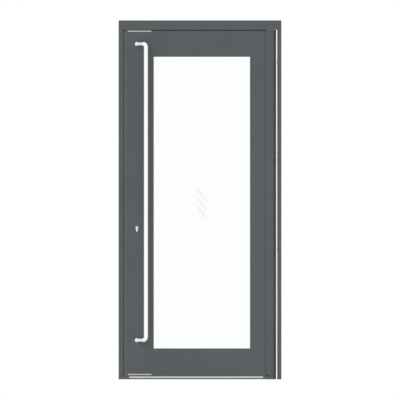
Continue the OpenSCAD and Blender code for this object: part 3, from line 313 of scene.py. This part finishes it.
def brush(node, x0, x1, back, tip, seed):
    """Backing in the slot of the leaf, a fin, and rows of fibres that lean a little up to the tip."""
    rng = random.Random(seed)
    way = 1.0 if tip > back else -1.0
    root = back + way * BACKING_H
    bm = bmesh.new()
    add_bar(bm, box_outline(BACKING_HALF, *sorted((back, root))), x0, x1)
    add_bar(bm, box_outline(FIN_HALF, *sorted((root, tip))), x0, x1)
    for row in FIBRE_ROWS:
        x = x0 + FIBRE_INSET + rng.random() * FIBRE_PITCH
        while x < x1 - FIBRE_PITCH:
            out = math.copysign(rng.uniform(0.0, LEAN_OUT), row)
            end = tip - way * rng.uniform(0.0, TIP_UNEVEN)
            lean = rng.uniform(-LEAN_ALONG, LEAN_ALONG)
            add_fibre(bm, (x, BRUSH_Y + row, root), (x + lean, BRUSH_Y + row + out, end))
            x += FIBRE_PITCH * rng.uniform(1 - PITCH_SPREAD, 1 + PITCH_SPREAD)
    new_piece(node + "_fibres", bm, materials["brush_pile"], "brush_pile", node)


brush("top_brush", BRUSH_LOW.x, BRUSH_HIGH.x, BRUSH_LOW.z, BRUSH_HIGH.z + TIP_REACH, seed=11)
brush("bottom_brush", BRUSH_LOW.x, FOOT_HIGH.x, FOOT_HIGH.z, FOOT_LOW.z - TIP_REACH, seed=12)

# Strip that carries the bottom brush

STRIP_T = 0.0025
STRIP_EASE = 0.0006
STRIP_CLEAR = 0.0002
# Lengths past the hinge stile, of the whole angle and then of its front leg alone
ANGLE_PAST = 0.0013
LEG_PAST = 0.0042
PILE_HALF = 0.002
LOCK_TUBE_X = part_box("top_guide_plate")[0][0]


def cover_strip():
    """Angle along the foot of the leaf, its toe eased; past its ends only the front leg goes on."""
    front = FOOT_LOW.y
    inside = front + STRIP_T
    back = BRUSH_Y - PILE_HALF
    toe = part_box("threshold")[1][2] + STRIP_CLEAR
    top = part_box("lock_stile")[0][2]
    under = top - STRIP_T
    round_off = STRIP_EASE / 3
    shared = [(front, top), (front, toe + STRIP_EASE), (front + round_off, toe + round_off),
              (front + STRIP_EASE, toe), (inside - STRIP_EASE, toe), (inside - round_off, toe + round_off),
              (inside, toe + STRIP_EASE)]
    leg = shared + [(inside, top)]
    angle = shared + [(inside, under - STRIP_EASE), (inside + STRIP_EASE, under),
                      (back, under), (back, top)]
    angle_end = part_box("hinge_stile")[1][0] + ANGLE_PAST
    bm = bmesh.new()
    add_bar(bm, leg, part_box("lock_stile")[0][0], LOCK_TUBE_X)
    add_bar(bm, angle, LOCK_TUBE_X, angle_end)
    add_bar(bm, leg, angle_end, angle_end + LEG_PAST)
    new_piece("bottom_cover_strip", bm, materials["anthracite_paint"], "anthracite_paint", "bottom_brush")


cover_strip()

# Three faint slanted strokes on the outer pane: painted glints, a thin pale film that stands in for a
# reflection on the glass

# Colours and see-through share of the painted glints, pale strokes in place of a reflection
PAINTED_GLINT = (0.46, 0.49, 0.52)
PAINTED_GLINT_DARK = (0.42, 0.45, 0.48)
PAINTED_GLINT_LIGHT = (0.5, 0.53, 0.56)
PAINTED_GLINT_ALPHA = 0.11
PAINTED_GLINT_OFF = 0.00002
PAINTED_GLINT_T = 0.0001
STROKE_N = 3
STROKE_X0 = -0.0200
STROKE_X1 = 0.0385
STROKE_TOP = 1.1735
STROKE_FALL = 0.0850
STROKE_APART = 0.0495
STROKE_HALF = 0.0062
STROKE_STEPS = 12
# Share of the width at a stroke's ends, and how fast it grows along the stroke
END_SHARE = 0.5
END_GROWTH = 6.0


def painted_glint_material():
    """Painted glint: a faint pale film with a fine grain that stands in for a reflection on the glass."""
    material, tree, surface, place = shader("painted_glint_marks", PAINTED_GLINT, rough=0.6)
    grain = noise(tree, place, scale=900.0, detail=2.0)
    tree.links.new(ranged(tree, grain, to_low=0.5, to_high=0.7), surface.inputs["Roughness"])
    tree.links.new(tinted(tree, grain, PAINTED_GLINT_DARK, PAINTED_GLINT_LIGHT), surface.inputs["Base Color"])
    surface.inputs["Alpha"].default_value = PAINTED_GLINT_ALPHA
    return material


def add_painted_glints():
    """Thin slanted slabs on the face of the pane that narrow at both ends and carry the painted glints."""
    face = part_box("outer_pane")[0][1]
    depths = (face - PAINTED_GLINT_OFF, face - PAINTED_GLINT_OFF - PAINTED_GLINT_T)
    run = STROKE_X1 - STROKE_X0
    side = Vector((STROKE_FALL, run)).normalized() * STROKE_HALF
    bm = bmesh.new()
    for k in range(STROKE_N):
        rings = []
        for step in range(STROKE_STEPS + 1):
            t = step / STROKE_STEPS
            x = STROKE_X0 + run * t
            z = STROKE_TOP - k * STROKE_APART - STROKE_FALL * t
            half = side * min(1.0, END_GROWTH * min(t, 1 - t) + END_SHARE)
            low = (x - half[0], z - half[1])
            high = (x + half[0], z + half[1])
            corners = ((low, depths[0]), (high, depths[0]), (high, depths[1]), (low, depths[1]))
            rings.append([bm.verts.new((cx, y, cz)) for (cx, cz), y in corners])
        for start, end in zip(rings, rings[1:]):
            bridge(bm, start, end)
        bm.faces.new(rings[0][::-1])
        bm.faces.new(rings[-1])
    new_piece("painted_glint_strokes", bm, painted_glint_material(), "clear_glass")


add_painted_glints()

# Floor, lights, world and camera

FLOOR_HALF = 9.0
FLOOR = (0.82, 0.82, 0.82)
FLOOR_DARK = (0.815, 0.815, 0.815)
FLOOR_LIGHT = (0.828, 0.828, 0.828)
WHITE = (1.0, 1.0, 1.0, 1.0)
AMBIENT = 0.42
LAMP_AIM = Vector((0.0, 0.0, 1.1))
LAMP_AWAY = 6.0
CAMERA_AT = (0.0, -8.0, 1.1015)
# Width and height of the view
VIEW_SIDE = 2.4572


def floor():
    """Pale floor with the faintest clouds."""
    bm = bmesh.new()
    bmesh.ops.create_grid(bm, x_segments=1, y_segments=1, size=FLOOR_HALF)
    mesh = bpy.data.meshes.new("studio_floor")
    bm.to_mesh(mesh)
    bm.free()
    ob = bpy.data.objects.new("studio_floor", mesh)
    bpy.context.collection.objects.link(ob)
    material, tree, surface, place = shader("studio_floor", FLOOR, rough=0.9)
    surface.inputs["Specular IOR Level"].default_value = 0.1
    tone = tinted(tree, noise(tree, place, scale=3.0), FLOOR_DARK, FLOOR_LIGHT)
    tree.links.new(tone, surface.inputs["Base Color"])
    mesh.materials.append(material)


def soft_sun(name, azimuth, elevation, strength, spread):
    """Soft even light from an azimuth counted from the front to the left, all angles in degrees."""
    light = bpy.data.lights.new(name, "SUN")
    light.energy = strength
    light.angle = math.radians(spread)
    a, e = math.radians(azimuth), math.radians(elevation)
    away = Vector((-math.sin(a) * math.cos(e), -math.cos(a) * math.cos(e), math.sin(e)))
    lamp = bpy.data.objects.new(name, light)
    lamp.location = LAMP_AIM + LAMP_AWAY * away
    lamp.rotation_euler = (-away).to_track_quat("-Z", "Y").to_euler()
    bpy.context.collection.objects.link(lamp)


def world():
    """White to the camera, to reflections and through glass, and a dimmer white light on surfaces."""
    studio = bpy.data.worlds.new("studio")
    bpy.context.scene.world = studio
    studio.use_nodes = True
    tree = studio.node_tree
    tree.nodes.clear()
    seen = tree.nodes.new("ShaderNodeBackground")
    seen.inputs["Color"].default_value = WHITE
    lit = tree.nodes.new("ShaderNodeBackground")
    lit.inputs["Color"].default_value = WHITE
    lit.inputs["Strength"].default_value = AMBIENT
    path = tree.nodes.new("ShaderNodeLightPath")
    direct = path.outputs["Is Camera Ray"]
    for ray in ("Is Glossy Ray", "Is Transmission Ray"):
        either = tree.nodes.new("ShaderNodeMath")
        either.operation = "MAXIMUM"
        tree.links.new(direct, either.inputs[0])
        tree.links.new(path.outputs[ray], either.inputs[1])
        direct = either.outputs["Value"]
    mix = tree.nodes.new("ShaderNodeMixShader")
    out = tree.nodes.new("ShaderNodeOutputWorld")
    tree.links.new(direct, mix.inputs["Fac"])
    tree.links.new(lit.outputs["Background"], mix.inputs[1])
    tree.links.new(seen.outputs["Background"], mix.inputs[2])
    tree.links.new(mix.outputs["Shader"], out.inputs["Surface"])


def camera():
    """Level view of the front without perspective."""
    lens = bpy.data.cameras.new("camera")
    lens.type = "ORTHO"
    lens.ortho_scale = VIEW_SIDE
    viewer = bpy.data.objects.new("camera", lens)
    viewer.location = CAMERA_AT
    viewer.rotation_euler = (math.radians(90.0), 0.0, 0.0)
    bpy.context.collection.objects.link(viewer)
    bpy.context.scene.camera = viewer


floor()
world()
soft_sun("key", azimuth=30.0, elevation=32.0, strength=1.67, spread=64.0)
soft_sun("side_fill", azimuth=-60.0, elevation=30.0, strength=0.75, spread=64.0)
soft_sun("back_fill", azimuth=150.0, elevation=35.0, strength=1.5, spread=60.0)
camera()
bpy.context.scene.view_settings.view_transform = "Standard"
